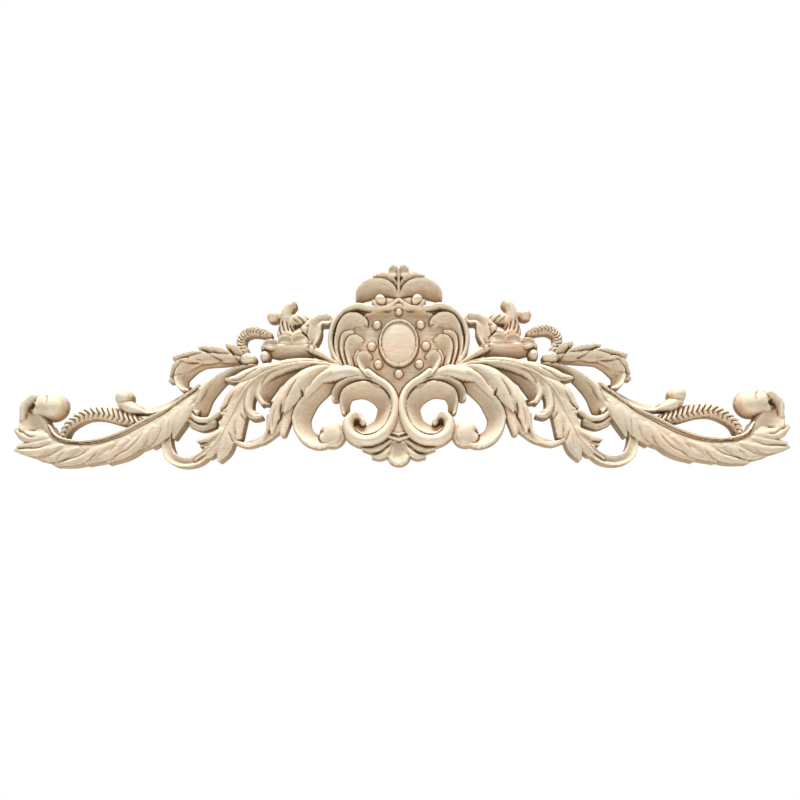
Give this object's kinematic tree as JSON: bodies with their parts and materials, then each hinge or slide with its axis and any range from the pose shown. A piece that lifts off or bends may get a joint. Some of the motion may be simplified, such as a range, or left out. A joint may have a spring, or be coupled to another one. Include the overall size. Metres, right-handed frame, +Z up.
{
  "type": "carved applique",
  "caption": "Openwork carved wooden crest for fixing flat on furniture or a wall, with scrolls, leaves and an oval boss.",
  "frame": {"origin": "on the flat back, straight behind the middle of the oval boss", "axes": "+X along the board to the right as seen from the front, +Y out of the back towards what it is fixed to, +Z up"},
  "size_m": [0.6, 0.02, 0.1639],
  "materials": {
    "natural_wood": "raw sanded pale hardwood, unvarnished, darker saw-cut walls"
  },
  "bodies": {
    "root": {"carved_applique": "natural_wood"}
  },
  "joints": []
}
